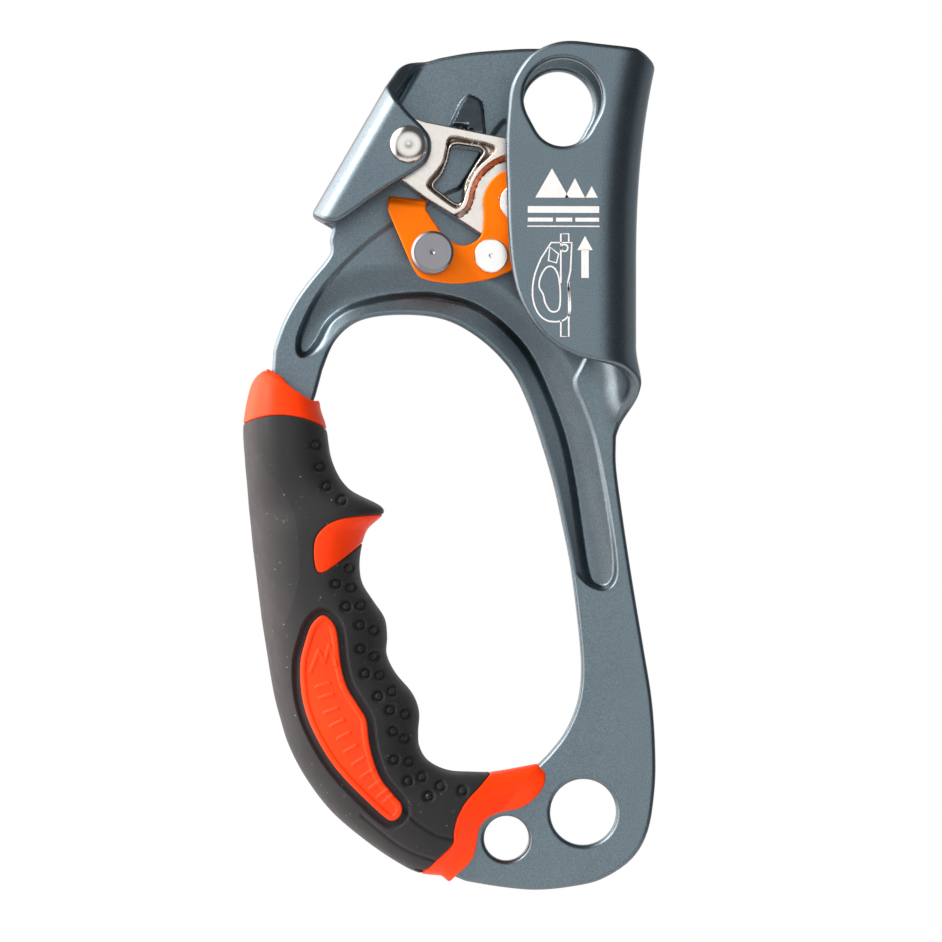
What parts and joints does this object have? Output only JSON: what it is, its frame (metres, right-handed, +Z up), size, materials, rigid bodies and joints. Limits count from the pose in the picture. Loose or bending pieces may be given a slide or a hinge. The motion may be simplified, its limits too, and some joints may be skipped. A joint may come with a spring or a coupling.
{
  "type": "handled rope ascender",
  "caption": "Handled ascender folded from one sheet, with a toothed spring cam, an orange opening lever and a two-colour moulded finger grip.",
  "frame": {"origin": "centre of the large carabiner hole, in the middle of the sheet's thickness", "axes": "+Z up along the rope, +X from the grip towards the rope channel, -Y towards the open front where the rope goes in"},
  "size_m": [0.0958, 0.0335, 0.1956],
  "materials": {
    "frame_metal": "satin blue-grey anodised",
    "cam_steel": "satin nickel-plated casting",
    "rivet_steel": "polished stainless",
    "spring_steel": "drawn spring wire",
    "bushing_bronze": "plain bronze",
    "lever_metal": "orange anodised",
    "knob_metal": "turned and grey anodised",
    "core_plastic": "semi-gloss red-orange plastic",
    "grip_rubber": "matte soft rubber"
  },
  "bodies": {
    "frame": {"frame": "frame_metal", "cam_axle": "rivet_steel", "cam_bushing": "bushing_bronze", "cam_washer_rear": "rivet_steel", "cam_washer_front": "rivet_steel", "cam_spring": "spring_steel", "grip_core_front": "core_plastic", "grip_core_rear": "core_plastic", "grip_sleeve_front": "grip_rubber", "grip_sleeve_rear": "grip_rubber", "badge_front": "core_plastic", "badge_rear": "core_plastic"},
    "cam": {"cam": "cam_steel", "lever_pivot": "rivet_steel", "lever_washer": "rivet_steel", "lever_spring": "spring_steel"},
    "lever": {"lever_plate": "lever_metal", "thumb_knob": "knob_metal", "knob_rivet": "rivet_steel", "catch_pin": "rivet_steel"}
  },
  "joints": [
    {"name": "cam_swing", "type": "hinge", "parent": "frame", "child": "cam", "pos_m": [-0.0409, 0, 0.1537], "axis": [0, 1, 0], "range_deg": [0, 60], "stiffness_Nm_per_rad": 0.06, "springref_deg": -45.84},
    {"name": "lever_swing", "type": "hinge", "parent": "cam", "child": "lever", "pos_m": [-0.0156, 0, 0.1408], "axis": [0, -1, 0], "range_deg": [0, 48]}
  ],
  "couplings": [
    {"joint": "lever_swing", "follows": "cam_swing", "ratio": 0.8}
  ]
}
